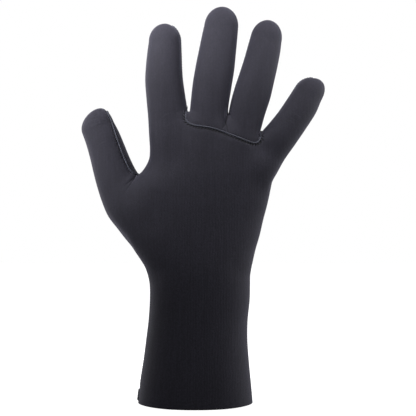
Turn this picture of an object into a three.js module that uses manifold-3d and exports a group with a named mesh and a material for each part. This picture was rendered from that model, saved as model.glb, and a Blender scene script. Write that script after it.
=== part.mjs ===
// A right-hand diving glove of thick neoprene with a long cuff, in millimetres.
// Frame: origin at the centre of the cuff's mouth, +Z to the fingertips, +X to the little finger's side,
// and -Y out of the back of the hand. The glove keeps the form that a hand inside gives it.
import * as THREE from 'three';
import { mergeVertices } from 'three/addons/utils/BufferGeometryUtils.js';
import Module from 'manifold-3d';

const wasm = await Module();
wasm.setup();

// Driving dimensions
const wall = 3; // neoprene with a knitted face on both sides
const jointGap = 0.3; // between two pieces that meet
const seamDiameter = 2; // the glued and blind-stitched ridge over a joint
const bodyLength = 209; // from the cuff's mouth to the top of the palm
const palmWidth = 90;
const palmDepth = 38;
const mouthDip = 2; // the cut edge hangs lower at the middle of the back and of the palm
const indexLength = 105; // each digit is measured from its root inside the palm
const indexWidth = 27.4;
const middleLength = 115.5;
const middleWidth = 27.4;
const ringLength = 108.5;
const ringWidth = 26.6;
const littleLength = 91.5;
const littleWidth = 23.8;
const thumbLength = 109;
const thumbWidth = 28.8;
const tackLength = 9; // the bar tack that ends the cuff's side seam
const tackDiameter = 2.8;

// Finish of the pieces
const neoprene = { color: 0x232328, roughness: 0.85, metalness: 0 };
const seamThread = { color: 0x39404c, roughness: 0.6, metalness: 0 };

// Fineness of the faceted walls
const bodySides = 36;
const digitSides = 18;
const ringSpacing = 12;
const domeRings = 4;
const seamSides = 6;
const seamStep = 5.5;
const innerFineness = 0.56; // the inner face's share of the outer one's sides and rings

// Each limb is a stack of sections square to its own straight axis. A row gives one section: at is a share of the
// limb's length, left and right are the outline's two sides as shares of its width, deep is half the section's
// thickness and back its middle's place towards the palm as shares of its depth. square bends an ellipse (2)
// towards a box. A limb ends in a dome that starts at tip.from and leans by tip.shift of the width.
const body = {
  root: { x: 0, z: 0 }, lean: 0, length: bodyLength, width: palmWidth, depth: palmDepth, square: 2.3,
  tip: { from: 0.979, shift: 0 },
  rows: [
    { at: 0.0, left: -0.454, right: 0.462, deep: 0.72, back: 0.0 },
    { at: 0.076, left: -0.434, right: 0.446, deep: 0.71, back: 0.0 },
    { at: 0.145, left: -0.41, right: 0.431, deep: 0.69, back: 0.0 },
    { at: 0.214, left: -0.39, right: 0.42, deep: 0.665, back: 0.0 },
    { at: 0.283, left: -0.371, right: 0.422, deep: 0.645, back: 0.0 },
    { at: 0.352, left: -0.361, right: 0.438, deep: 0.63, back: 0.0 },
    { at: 0.403, left: -0.362, right: 0.441, deep: 0.62, back: 0.0 },
    { at: 0.438, left: -0.377, right: 0.443, deep: 0.615, back: 0.0 },
    { at: 0.472, left: -0.408, right: 0.457, deep: 0.61, back: 0.005 },
    { at: 0.524, left: -0.487, right: 0.484, deep: 0.6, back: 0.015 },
    { at: 0.576, left: -0.56, right: 0.519, deep: 0.59, back: 0.02 },
    { at: 0.628, left: -0.607, right: 0.547, deep: 0.575, back: 0.02 },
    { at: 0.679, left: -0.625, right: 0.578, deep: 0.555, back: 0.005 },
    { at: 0.731, left: -0.58, right: 0.604, deep: 0.53, back: -0.01 },
    { at: 0.766, left: -0.5, right: 0.619, deep: 0.51, back: -0.025 },
    { at: 0.793, left: -0.424, right: 0.624, deep: 0.49, back: -0.04 },
    { at: 0.834, left: -0.368, right: 0.616, deep: 0.455, back: -0.06 },
    { at: 0.869, left: -0.358, right: 0.605, deep: 0.425, back: -0.08 },
    { at: 0.903, left: -0.35, right: 0.56, deep: 0.39, back: -0.095 },
    { at: 0.931, left: -0.335, right: 0.46, deep: 0.35, back: -0.105 },
    { at: 0.959, left: -0.3, right: 0.37, deep: 0.305, back: -0.11 },
    { at: 0.979, left: -0.24, right: 0.3, deep: 0.26, back: -0.11 },
  ],
};
const index = {
  root: { x: -0.216, z: 0.806 }, lean: -1.5, length: indexLength, width: indexWidth, depth: indexWidth, square: 2,
  tip: { from: 0.87, shift: 0 },
  rows: [
    { at: 0.0, left: -0.38, right: 0.5, deep: 0.4, back: -0.12 },
    { at: 0.2, left: -0.46, right: 0.6, deep: 0.465, back: -0.15 },
    { at: 0.35, left: -0.48, right: 0.575, deep: 0.47, back: -0.15 },
    { at: 0.48, left: -0.513, right: 0.51, deep: 0.465, back: -0.12 },
    { at: 0.6, left: -0.535, right: 0.457, deep: 0.46, back: -0.07 },
    { at: 0.7, left: -0.51, right: 0.43, deep: 0.45, back: 0.0 },
    { at: 0.8, left: -0.465, right: 0.423, deep: 0.43, back: 0.09 },
    { at: 0.87, left: -0.424, right: 0.42, deep: 0.405, back: 0.16 },
  ],
};
const middle = {
  root: { x: 0.064, z: 0.82 }, lean: 7.3, length: middleLength, width: middleWidth, depth: middleWidth, square: 2,
  tip: { from: 0.87, shift: 0 },
  rows: [
    { at: 0.0, left: -0.45, right: 0.55, deep: 0.43, back: -0.15 },
    { at: 0.2, left: -0.505, right: 0.55, deep: 0.475, back: -0.18 },
    { at: 0.35, left: -0.52, right: 0.478, deep: 0.48, back: -0.17 },
    { at: 0.48, left: -0.533, right: 0.484, deep: 0.475, back: -0.13 },
    { at: 0.6, left: -0.516, right: 0.5, deep: 0.465, back: -0.06 },
    { at: 0.7, left: -0.487, right: 0.49, deep: 0.45, back: 0.03 },
    { at: 0.8, left: -0.457, right: 0.478, deep: 0.43, back: 0.13 },
    { at: 0.87, left: -0.432, right: 0.465, deep: 0.405, back: 0.21 },
  ],
};
const ring = {
  root: { x: 0.316, z: 0.817 }, lean: 12.5, length: ringLength, width: ringWidth, depth: ringWidth, square: 2,
  tip: { from: 0.87, shift: 0 },
  rows: [
    { at: 0.0, left: -0.33, right: 0.5, deep: 0.43, back: -0.15 },
    { at: 0.2, left: -0.4, right: 0.483, deep: 0.475, back: -0.17 },
    { at: 0.35, left: -0.464, right: 0.505, deep: 0.48, back: -0.15 },
    { at: 0.48, left: -0.45, right: 0.555, deep: 0.475, back: -0.11 },
    { at: 0.6, left: -0.4, right: 0.562, deep: 0.465, back: -0.04 },
    { at: 0.7, left: -0.363, right: 0.565, deep: 0.45, back: 0.05 },
    { at: 0.8, left: -0.34, right: 0.555, deep: 0.43, back: 0.15 },
    { at: 0.87, left: -0.322, right: 0.53, deep: 0.405, back: 0.23 },
  ],
};
const little = {
  root: { x: 0.413, z: 0.756 }, lean: 31, length: littleLength, width: littleWidth, depth: littleWidth, square: 2,
  tip: { from: 0.86, shift: 0.08 },
  rows: [
    { at: 0.0, left: -0.5, right: 0.6, deep: 0.4, back: -0.08 },
    { at: 0.15, left: -0.52, right: 0.64, deep: 0.51, back: -0.1 },
    { at: 0.3, left: -0.485, right: 0.625, deep: 0.5, back: -0.1 },
    { at: 0.45, left: -0.365, right: 0.665, deep: 0.495, back: -0.07 },
    { at: 0.6, left: -0.275, right: 0.7, deep: 0.48, back: 0.0 },
    { at: 0.75, left: -0.228, right: 0.718, deep: 0.455, back: 0.11 },
    { at: 0.86, left: -0.212, right: 0.665, deep: 0.42, back: 0.21 },
  ],
};
const thumb = {
  root: { x: -0.361, z: 0.527 }, lean: -21, length: thumbLength, width: thumbWidth, depth: thumbWidth, square: 2.1,
  tip: { from: 0.88, shift: 0.12 },
  rows: [
    { at: 0.0, left: -0.3, right: 0.6, deep: 0.42, back: 0.12 },
    { at: 0.1, left: -0.46, right: 0.68, deep: 0.56, back: 0.16 },
    { at: 0.2, left: -0.579, right: 0.7, deep: 0.62, back: 0.19 },
    { at: 0.3, left: -0.69, right: 0.66, deep: 0.61, back: 0.21 },
    { at: 0.4, left: -0.708, right: 0.54, deep: 0.56, back: 0.22 },
    { at: 0.5, left: -0.69, right: 0.392, deep: 0.51, back: 0.24 },
    { at: 0.6, left: -0.652, right: 0.343, deep: 0.48, back: 0.27 },
    { at: 0.7, left: -0.602, right: 0.33, deep: 0.465, back: 0.3 },
    { at: 0.8, left: -0.568, right: 0.317, deep: 0.45, back: 0.33 },
    { at: 0.88, left: -0.562, right: 0.28, deep: 0.42, back: 0.36 },
  ],
};
const limbs = [body, index, middle, ring, little, thumb];
for (const limb of limbs) {
  const lean = THREE.MathUtils.degToRad(limb.lean);
  limb.foot = new THREE.Vector3(limb.root.x * palmWidth, 0, limb.root.z * bodyLength);
  limb.axis = new THREE.Vector3(Math.sin(lean), 0, Math.cos(lean));
  limb.across = new THREE.Vector3(Math.cos(lean), 0, -Math.sin(lean));
}

// A table's column at any share of the length: a cubic through the rows, with each row's slope from its neighbours.
function column(rows, name, at) {
  const last = rows.length - 1;
  let i = 0;
  while (i < last - 1 && rows[i + 1].at < at) i += 1;
  const slope = (k) => {
    const before = rows[Math.max(k - 1, 0)];
    const after = rows[Math.min(k + 1, last)];
    return (after[name] - before[name]) / (after.at - before.at);
  };
  const span = rows[i + 1].at - rows[i].at;
  const t = THREE.MathUtils.clamp((at - rows[i].at) / span, 0, 1);
  return (
    rows[i][name] * (1 + 2 * t) * (1 - t) ** 2 +
    slope(i) * span * t * (1 - t) ** 2 +
    rows[i + 1][name] * t * t * (3 - 2 * t) -
    slope(i + 1) * span * t * t * (1 - t)
  );
}

// One section of a limb in millimetres, at a distance along its axis, drawn in by inset from the outer face.
function sectionOf(limb, along, inset = 0) {
  const at = along / limb.length;
  const left = column(limb.rows, 'left', at) * limb.width + inset;
  const right = column(limb.rows, 'right', at) * limb.width - inset;
  const domeStart = limb.tip.from * limb.length;
  const intoDome = Math.max(along - domeStart, 0) / (limb.length - inset - domeStart);
  const closing = Math.sqrt(Math.max(1 - intoDome ** 2, 0));
  return {
    middle: (left + right) / 2 + limb.tip.shift * limb.width * intoDome ** 2,
    half: ((right - left) / 2) * closing,
    deep: (column(limb.rows, 'deep', at) * limb.depth - inset) * closing,
    back: column(limb.rows, 'back', at) * limb.depth,
  };
}

function placeOn(limb, along, across, y) {
  return limb.foot.clone().addScaledVector(limb.axis, along).addScaledVector(limb.across, across).setY(y);
}

function isInside(point) {
  return limbs.some((limb) => {
    const reach = point.clone().sub(limb.foot);
    const along = reach.dot(limb.axis);
    if (along < 0 || along >= limb.length) return false;
    const s = sectionOf(limb, along);
    const sideways = Math.abs(reach.dot(limb.across) - s.middle) / s.half;
    const outwards = Math.abs(point.y - s.back) / s.deep;
    return sideways ** limb.square + outwards ** limb.square < 1;
  });
}

// Where a ray from inside the glove first leaves its outer face.
function surfacePoint(from, direction) {
  const at = (distance) => from.clone().addScaledVector(direction, distance);
  const coarse = 0.5;
  let far = coarse;
  while (isInside(at(far))) far += coarse;
  let near = far - coarse;
  for (let i = 0; i < 12; i += 1) {
    const half = (near + far) / 2;
    if (isInside(at(half))) near = half;
    else far = half;
  }
  return at(near);
}

// The outline's x at a height, on a limb's left (-1) or right (1) side.
function outlineX(limb, z, side) {
  let across = 0;
  let along = 0;
  for (let i = 0; i < 12; i += 1) {
    along = (z - limb.foot.z - limb.across.z * across) / limb.axis.z;
    const s = sectionOf(limb, Math.min(along, limb.length * limb.tip.from));
    across = s.middle + side * s.half;
  }
  return limb.foot.x + limb.axis.x * along + limb.across.x * across;
}

// The gap between two neighbouring fingers in the front view, as [x, z] from their crotch up past both tips.
function gapBetween(leftLimb, rightLimb) {
  const step = 0.25;
  const opening = (z) => outlineX(rightLimb, z, -1) - outlineX(leftLimb, z, 1);
  let z = body.foot.z + bodyLength * 1.05;
  while (opening(z) > 0) z -= step;
  const top = middleLength + bodyLength;
  const line = [];
  for (let height = z; height < top; height += ringSpacing) {
    line.push([(outlineX(leftLimb, height, 1) + outlineX(rightLimb, height, -1)) / 2, height]);
  }
  return line;
}

// A closed surface over a grid of points: rings one after another, closed by a fan at each end or onto itself.
function skin(rings, closed = false) {
  const sides = rings[0].length;
  const points = rings.flat();
  const faces = [];
  const bands = closed ? rings.length : rings.length - 1;
  for (let i = 0; i < bands; i += 1) {
    for (let j = 0; j < sides; j += 1) {
      const a = i * sides + j;
      const b = i * sides + ((j + 1) % sides);
      const c = ((i + 1) % rings.length) * sides + ((j + 1) % sides);
      const d = ((i + 1) % rings.length) * sides + j;
      faces.push(a, b, c, a, c, d);
    }
  }
  if (!closed) {
    for (const [first, flip] of [[0, true], [(rings.length - 1) * sides, false]]) {
      const centre = new THREE.Vector3();
      for (let j = 0; j < sides; j += 1) centre.addScaledVector(points[first + j], 1 / sides);
      const hub = points.push(centre) - 1;
      for (let j = 0; j < sides; j += 1) {
        const a = first + j;
        const b = first + ((j + 1) % sides);
        faces.push(...(flip ? [b, a, hub] : [a, b, hub]));
      }
    }
  }
  return new THREE.BufferGeometry().setFromPoints(points).setIndex(faces);
}

function solidOf(geometry) {
  const bare = geometry.clone();
  for (const name of ['normal', 'uv']) bare.deleteAttribute(name);
  const merged = mergeVertices(bare, 1e-4);
  return new wasm.Manifold(new wasm.Mesh({
    numProp: 3,
    vertProperties: new Float32Array(merged.attributes.position.array),
    triVerts: new Uint32Array(merged.index.array),
  }));
}

function geometryOf(solid) {
  const mesh = solid.getMesh();
  return new THREE.BufferGeometry()
    .setAttribute('position', new THREE.BufferAttribute(mesh.vertProperties, 3))
    .setIndex(new THREE.BufferAttribute(mesh.triVerts, 1))
    .toNonIndexed();
}

// A limb as a closed solid. Its first section may lie further down its axis, to run out of the cuff's mouth.
function limbSolid(limb, inset, start) {
  const fineness = inset > 0 ? innerFineness : 1;
  const sides = Math.round((limb === body ? bodySides : digitSides) * fineness);
  const domeStart = limb.tip.from * limb.length;
  const count = Math.ceil(((domeStart - start) / ringSpacing) * fineness);
  const stations = Array.from({ length: count + 1 }, (_, i) => start + ((domeStart - start) * i) / count);
  const dome = limb.length - inset - domeStart;
  for (let i = 1; i <= domeRings; i += 1) {
    stations.push(domeStart + dome * Math.sin((i / (domeRings + 0.4)) * (Math.PI / 2)));
  }
  const rings = stations.map((along) => {
    const s = sectionOf(limb, along, inset);
    return Array.from({ length: sides }, (_, j) => {
      const turn = (j / sides) * Math.PI * 2;
      const bend = (value) => Math.sign(value) * Math.abs(value) ** (2 / limb.square);
      const point = placeOn(limb, along, s.middle + s.half * bend(Math.cos(turn)), s.back + s.deep * bend(Math.sin(turn)));
      if (limb === body && along <= 0) point.z -= mouthDip * Math.sin(turn) ** 2;
      return point;
    });
  });
  return solidOf(skin(rings));
}

function union(solids) {
  return solids.reduce((sum, solid) => sum.add(solid));
}

const outerForm = union(limbs.map((limb) => limbSolid(limb, 0, 0)));
const innerForm = union(limbs.map((limb) => limbSolid(limb, wall, limb === body ? -mouthDip * 3 : wall)));
const glove = outerForm.subtract(innerForm);

// The point at a share of a limb's length and of its width, in the middle of its thickness.
function midway(limb, at, side) {
  return placeOn(limb, at * limb.length, side * limb.width, sectionOf(limb, at * limb.length).back);
}

// A seam round a panel starts as a line of such points. It is laid on the back of the hand, over both of its ends
// in the given directions, and along the palm.
const backwards = new THREE.Vector3(0, -1, 0);
const palmwards = new THREE.Vector3(0, 1, 0);
function loopRound(line, startOut, endOut) {
  const onBack = line.map((point) => surfacePoint(point, backwards));
  const onPalm = line.map((point) => surfacePoint(point, palmwards));
  const overEnd = (end, before, outwards, turns) => {
    const depths = [onBack.at(end).y, onPalm.at(end).y, onBack.at(before).y, onPalm.at(before).y];
    const centre = line.at(end).clone().setY(depths.reduce((sum, y) => sum + y / depths.length, 0));
    return turns.map((turn) => {
      const angle = THREE.MathUtils.degToRad(turn);
      const direction = outwards.clone().multiplyScalar(Math.sin(angle)).addScaledVector(backwards, Math.cos(angle));
      return surfacePoint(centre, direction);
    });
  };
  return [
    ...onBack.slice(1, -1),
    ...overEnd(-1, -2, endOut, [45, 90, 135]),
    ...onPalm.slice(1, -1).reverse(),
    ...overEnd(0, 1, startOut, [135, 90, 45]),
  ];
}

// A round ridge along points on the outer face, or with more than its own radius the channel that it lies in.
function ridge(points, radius, closed) {
  const curve = new THREE.CatmullRomCurve3(points, closed, 'centripetal');
  const steps = Math.round(curve.getLength() / seamStep);
  const frames = curve.computeFrenetFrames(steps, closed);
  const rings = Array.from({ length: closed ? steps : steps + 1 }, (_, i) => {
    const centre = curve.getPointAt(i / steps);
    return Array.from({ length: seamSides }, (_side, j) => {
      const turn = (j / seamSides) * Math.PI * 2;
      return centre.clone()
        .addScaledVector(frames.normals[i], radius * Math.cos(turn))
        .addScaledVector(frames.binormals[i], radius * Math.sin(turn));
    });
  });
  return solidOf(skin(rings, closed));
}

// The finger seam runs from the crotch beside the index finger, under the two middle fingers, to the crotch beside
// the little finger. A row's along and drop are shares of the straight way between the two crotches.
const fingerSeamRows = [
  { along: -0.014, drop: 0.05 },
  { along: -0.004, drop: 0.115 },
  { along: 0.046, drop: 0.16 },
  { along: 0.129, drop: 0.177 },
  { along: 0.252, drop: 0.167 },
  { along: 0.388, drop: 0.15 },
  { along: 0.572, drop: 0.146 },
  { along: 0.785, drop: 0.148 },
  { along: 0.926, drop: 0.148 },
  { along: 0.99, drop: 0.128 },
  { along: 1.02, drop: 0.085 },
  { along: 1.014, drop: 0.045 },
];
const indexGap = gapBetween(index, middle);
const littleGap = gapBetween(ring, little);
const fingerSeam = fingerSeamRows.map(({ along, drop }) => {
  const [x, z] = indexGap[0];
  const spanX = littleGap[0][0] - x;
  const spanZ = littleGap[0][1] - z;
  const height = z + spanZ * along - spanX * drop;
  return midway(body, height / bodyLength, (x + spanX * along + spanZ * drop) / palmWidth);
});

// The thumb seam runs down the thumb's inner side into the web. A row's at is a share of the thumb's length, and
// side a share of its width.
const thumbSeamRows = [
  { at: 0.955, side: 0.16 },
  { at: 0.913, side: 0.195 },
  { at: 0.862, side: 0.205 },
  { at: 0.79, side: 0.21 },
  { at: 0.718, side: 0.215 },
  { at: 0.647, side: 0.227 },
  { at: 0.587, side: 0.25 },
  { at: 0.546, side: 0.277 },
  { at: 0.504, side: 0.335 },
  { at: 0.475, side: 0.425 },
];
const thumbSeam = thumbSeamRows.map(({ at, side }) => midway(thumb, at, side));

// A block through the whole thickness, over an outline of [x, z].
function throughBlock(outline) {
  const shape = new THREE.Shape(outline.map(([x, z]) => new THREE.Vector2(x, z)));
  const thickness = palmDepth * 4;
  const block = new THREE.ExtrudeGeometry(shape, { depth: thickness, bevelEnabled: false });
  return solidOf(block.rotateX(Math.PI / 2).translate(0, thickness / 2, 0));
}

// The same line moved sideways by a distance, to its left as it runs.
function moved(line, distance) {
  return line.map(([x, z], i) => {
    const [x0, z0] = line[Math.max(i - 1, 0)];
    const [x1, z1] = line[Math.min(i + 1, line.length - 1)];
    const length = Math.hypot(x1 - x0, z1 - z0);
    return [x - ((z1 - z0) / length) * distance, z + ((x1 - x0) / length) * distance];
  });
}

// What lies above the finger seam, and what lies beyond the thumb seam towards the index finger.
const inFront = ({ x, z }) => [x, z];
const web = thumbSeam.at(-1);
const fingerBorder = [...indexGap.toReversed(), ...fingerSeam.map(inFront), ...littleGap];
const thumbBorder = [
  inFront(midway(thumb, 1.15, 0.5)),
  ...thumbSeam.map(inFront),
  [web.x, web.z + wall * 2],
  inFront(midway(thumb, 0.7, 0.8)),
];
function fingerBlock(margin) {
  return throughBlock(moved(fingerBorder, margin));
}

function thumbBlock(margin) {
  return throughBlock(moved(thumbBorder, margin));
}

const upwards = new THREE.Vector3(0, 0, 1);
const fingerLoop = loopRound(fingerSeam, upwards, upwards);
const thumbLoop = loopRound(thumbSeam, thumb.axis.clone().add(thumb.across).normalize(), upwards);

// A point of a limb's outer face: from its middle, or from a side share of its width, towards the little finger's
// side (1) or the thumb's (-1) and turned from there by some degrees towards the palm.
function facePoint(limb, { at, side, turn }, towards) {
  const angle = THREE.MathUtils.degToRad(turn);
  const { middle: centre, half: halfWidth, deep } = sectionOf(limb, at * limb.length);
  const from = midway(limb, at, side ?? centre / limb.width);
  const direction = limb.across.clone().multiplyScalar(towards * halfWidth * Math.cos(angle));
  return surfacePoint(from, direction.setY(deep * Math.sin(angle)).normalize());
}

// Each finger closes along the side that faces its neighbour, from the tip down to the finger seam.
const closings = [
  {
    name: 'index_finger_seam', limb: index, towards: 1, rows: [
      { at: 0.985, turn: 12 },
      { at: 0.92, turn: 12 },
      { at: 0.78, turn: 14 },
      { at: 0.62, turn: 18 },
      { at: 0.47, turn: 26 },
      { at: 0.37, turn: 42 },
      { at: 0.3, turn: 52 },
    ],
  },
  {
    name: 'middle_finger_seam', limb: middle, towards: 1, rows: [
      { at: 0.985, turn: 12 },
      { at: 0.92, turn: 12 },
      { at: 0.78, turn: 14 },
      { at: 0.62, turn: 18 },
      { at: 0.45, turn: 26 },
      { at: 0.34, turn: 42 },
      { at: 0.25, turn: 56 },
      { at: 0.19, turn: 60 },
    ],
  },
  {
    name: 'ring_finger_seam', limb: ring, towards: -1, rows: [
      { at: 0.985, turn: 12 },
      { at: 0.92, turn: 12 },
      { at: 0.78, turn: 14 },
      { at: 0.62, turn: 18 },
      { at: 0.46, turn: 26 },
      { at: 0.36, turn: 38 },
      { at: 0.3, turn: 46 },
    ],
  },
  {
    name: 'little_finger_seam', limb: little, towards: -1, rows: [
      { at: 0.985, turn: 12 },
      { at: 0.9, turn: 12 },
      { at: 0.74, turn: 14 },
      { at: 0.58, turn: 20 },
      { at: 0.46, turn: 32 },
      { at: 0.36, turn: 48 },
    ],
  },
];

// The cuff closes along the thumb's side, and the seam goes on over the palm round the thumb's root into the web.
const sideSeamRows = [
  { at: 0.055, side: 0, turn: 4 },
  { at: 0.2, side: 0, turn: 10 },
  { at: 0.32, side: -0.05, turn: 22 },
  { at: 0.43, side: -0.13, turn: 38 },
  { at: 0.53, side: -0.25, turn: 65 },
  { at: 0.63, side: -0.3, turn: 80 },
  { at: 0.71, side: -0.345, turn: 85 },
  { at: 0.775, side: -0.42, turn: 90 },
];
const tackRows = [
  { at: jointGap / bodyLength, side: 0, turn: 3 },
  { at: (jointGap + tackLength) / bodyLength, side: 0, turn: 4 },
];
const ridges = [
  { name: 'finger_base_seam', points: fingerLoop, closed: true },
  { name: 'thumb_seam', points: thumbLoop, closed: true },
  { name: 'cuff_side_seam', points: sideSeamRows.map((row) => facePoint(body, row, -1)) },
  { name: 'seam_end_tack', points: tackRows.map((row) => facePoint(body, row, -1)), diameter: tackDiameter },
];
for (const { name, limb, towards, rows } of closings) {
  ridges.push({ name, points: rows.map((row) => facePoint(limb, row, towards)) });
}
for (const item of ridges) {
  const radius = (item.diameter ?? seamDiameter) / 2;
  item.solid = ridge(item.points, radius, item.closed ?? false);
  item.channel = ridge(item.points, radius + jointGap, item.closed ?? false);
}
// A ridge that ends at another one stops short of it.
ridges.forEach((item, i) => {
  for (const other of ridges.slice(0, i)) item.solid = item.solid.subtract(other.channel);
});

const channels = union(ridges.map((item) => item.channel));
const halfGap = jointGap / 2;
const pieces = [
  { name: 'main_panel', solid: glove.subtract(fingerBlock(-halfGap)).subtract(thumbBlock(-halfGap)) },
  { name: 'middle_ring_panel', solid: glove.intersect(fingerBlock(halfGap)) },
  { name: 'thumb_inner_panel', solid: glove.intersect(thumbBlock(halfGap)) },
];

// Where a channel runs along a joint, it leaves crumbs of the panel's edge beside it. They go.
function withoutCrumbs(solid) {
  return solid.decompose().reduce((largest, other) => (other.volume() > largest.volume() ? other : largest));
}

const gloveGroup = new THREE.Group();
function addPiece(name, solid, finish) {
  const mesh = new THREE.Mesh(geometryOf(solid), new THREE.MeshStandardMaterial(finish));
  mesh.name = name;
  gloveGroup.add(mesh);
}
for (const { name, solid } of pieces) addPiece(name, withoutCrumbs(solid.subtract(channels)), neoprene);
for (const { name, solid } of ridges) addPiece(name, withoutCrumbs(solid), seamThread);

export default gloveGroup;
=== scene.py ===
# A right-hand diving glove of knitted neoprene, standing filled out on its open cuff.
# Shapes are worked out in millimetres and made metres only when a mesh is built.
import math
import bpy
import numpy as np
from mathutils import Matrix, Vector
from mathutils.bvhtree import BVHTree


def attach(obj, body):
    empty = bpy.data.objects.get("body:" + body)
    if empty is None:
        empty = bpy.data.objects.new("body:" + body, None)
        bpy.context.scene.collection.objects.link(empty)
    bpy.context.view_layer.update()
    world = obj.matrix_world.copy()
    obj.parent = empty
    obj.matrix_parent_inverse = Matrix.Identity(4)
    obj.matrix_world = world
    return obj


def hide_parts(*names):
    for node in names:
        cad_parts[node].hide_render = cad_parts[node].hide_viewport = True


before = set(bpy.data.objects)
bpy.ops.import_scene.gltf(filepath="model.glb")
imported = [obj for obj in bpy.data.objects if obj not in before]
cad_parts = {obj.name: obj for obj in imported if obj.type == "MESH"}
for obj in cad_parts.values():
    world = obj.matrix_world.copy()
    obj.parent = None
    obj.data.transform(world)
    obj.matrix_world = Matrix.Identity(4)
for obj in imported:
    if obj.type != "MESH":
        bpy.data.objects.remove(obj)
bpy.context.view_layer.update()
print("frame loaded:", len(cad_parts), "pieces to dress")

# what the whole glove shares
glove = {
    "wall": 3.0,
    "jointGap": 0.3,
    "mouthDip": 2.0,  # the cut edge hangs lower at the middle of the back and of the palm
    "belowMouth": -9.0,  # the rough form runs on this far before the mouth is cut
    "rootRound": 8.0,  # a limb's root inside the palm is rounded over this
    "crotchRound": 0.8,  # how softly two limbs meet where the outline shows it
    "valleyRound": 4.5,  # and on the back and the palm
    "gapSpread": 12.0,  # the gaps between fingers are opened this far while the skin is made
    "spreadEase": 14,  # easing in over this height below each crotch
    "voxel": 1.3,
    "snap": 0.15,  # corners nearer than this to a border move onto it before the cut
    "jointReach": 2.5,  # an open edge nearer than this to a seam is a joint
    "pitch": 2.0,  # from stitch to stitch
    "thumbPitch": 1.75,
}

# Each limb is a stack of sections square to a straight axis. A row is (at, left, right, deep, back), all in
# thousandths: of the length, of the width for the outline's two sides, and of the depth for half the
# thickness and its middle. The depth is the width where none is given.
finger = {"square": 2, "dome": 0.87, "shift": 0}
limbTables = {
    "body": {
        "root": (0, 0), "lean": 0, "length": 209, "width": 90, "depth": 38, "square": 2.3, "dome": 0.979,
        "shift": 0,
        "rows": [
            (0, -454, 462, 720, 0), (76, -434, 446, 710, 0), (145, -410, 431, 690, 0),
            (214, -390, 420, 665, 0), (283, -371, 422, 645, 0), (352, -361, 438, 630, 0),
            (403, -362, 441, 620, 0), (438, -377, 443, 615, 0), (472, -408, 457, 610, 5),
            (524, -487, 484, 600, 15), (576, -560, 519, 590, 20), (628, -607, 547, 575, 20),
            (679, -625, 578, 555, 5), (731, -580, 604, 530, -10), (766, -500, 619, 510, -25),
            (793, -424, 624, 490, -40), (834, -368, 616, 455, -60), (869, -358, 605, 425, -80),
            (903, -350, 560, 390, -95), (931, -335, 460, 350, -105), (959, -300, 370, 305, -110),
            (979, -240, 300, 260, -110),
        ],
    },
    "index": {
        **finger, "root": (-0.216, 0.806), "lean": -1.5, "length": 105, "width": 27.4,
        "rows": [
            (0, -380, 500, 400, -120), (200, -460, 600, 465, -150), (350, -480, 575, 470, -150),
            (480, -513, 510, 465, -120), (600, -535, 457, 460, -70), (700, -510, 430, 450, 0),
            (800, -465, 423, 430, 90), (870, -424, 420, 405, 160),
        ],
    },
    "middle": {
        **finger, "root": (0.064, 0.82), "lean": 7.3, "length": 115.5, "width": 27.4,
        "rows": [
            (0, -450, 550, 430, -150), (200, -505, 550, 475, -180), (350, -520, 478, 480, -170),
            (480, -533, 484, 475, -130), (600, -516, 500, 465, -60), (700, -487, 490, 450, 30),
            (800, -457, 478, 430, 130), (870, -432, 465, 405, 210),
        ],
    },
    "ring": {
        **finger, "root": (0.316, 0.817), "lean": 12.5, "length": 108.5, "width": 26.6,
        "rows": [
            (0, -330, 500, 430, -150), (200, -400, 483, 475, -170), (350, -464, 505, 480, -150),
            (480, -450, 555, 475, -110), (600, -400, 562, 465, -40), (700, -363, 565, 450, 50),
            (800, -340, 555, 430, 150), (870, -322, 530, 405, 230),
        ],
    },
    "little": {
        **finger, "root": (0.413, 0.756), "lean": 31, "length": 91.5, "width": 23.8, "dome": 0.86,
        "shift": 0.08,
        "rows": [
            (0, -500, 600, 400, -80), (150, -520, 640, 510, -100), (300, -485, 625, 500, -100),
            (450, -365, 665, 495, -70), (600, -275, 700, 480, 0), (750, -228, 718, 455, 110),
            (860, -212, 665, 420, 210),
        ],
    },
    "thumb": {
        "root": (-0.361, 0.527), "lean": -21, "length": 109, "width": 28.8, "square": 2.1, "dome": 0.88,
        "shift": 0.12,
        "rows": [
            (0, -300, 600, 420, 120), (100, -460, 680, 560, 160), (200, -579, 700, 620, 190),
            (300, -690, 660, 610, 210), (400, -708, 540, 560, 220), (500, -690, 392, 510, 240),
            (600, -652, 343, 480, 270), (700, -602, 330, 465, 300), (800, -568, 317, 450, 330),
            (880, -562, 280, 420, 360),
        ],
    },
}
limbs = {}
palm = limbTables["body"]
for name, table in limbTables.items():
    lean = math.radians(table["lean"])
    limbs[name] = {
        "depth": table["width"],
        **table,
        "name": name,
        "rows": np.array(table["rows"]) / 1000,
        "foot": np.array([table["root"][0] * palm["width"], 0, table["root"][1] * palm["length"]]),
        "axis": np.array([math.sin(lean), 0, math.cos(lean)]),
        "across": np.array([math.cos(lean), 0, -math.sin(lean)]),
    }


# A column of a table at any place: a cubic through the rows, with each row's slope from its two neighbours.
def columnAt(rows, column, at):
    places, values = rows[:, 0], rows[:, column]
    rank = np.arange(len(rows))
    before, after = np.maximum(rank - 1, 0), np.minimum(rank + 1, len(rows) - 1)
    slopes = (values[after] - values[before]) / (places[after] - places[before])
    i = np.clip(np.searchsorted(places, at) - 1, 0, len(rows) - 2)
    span = places[i + 1] - places[i]
    t = np.clip((at - places[i]) / span, 0, 1)
    low = values[i] * (1 + 2 * t) * (1 - t) ** 2 + slopes[i] * span * t * (1 - t) ** 2
    return low + values[i + 1] * t * t * (3 - 2 * t) - slopes[i + 1] * span * t * t * (1 - t)


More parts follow.
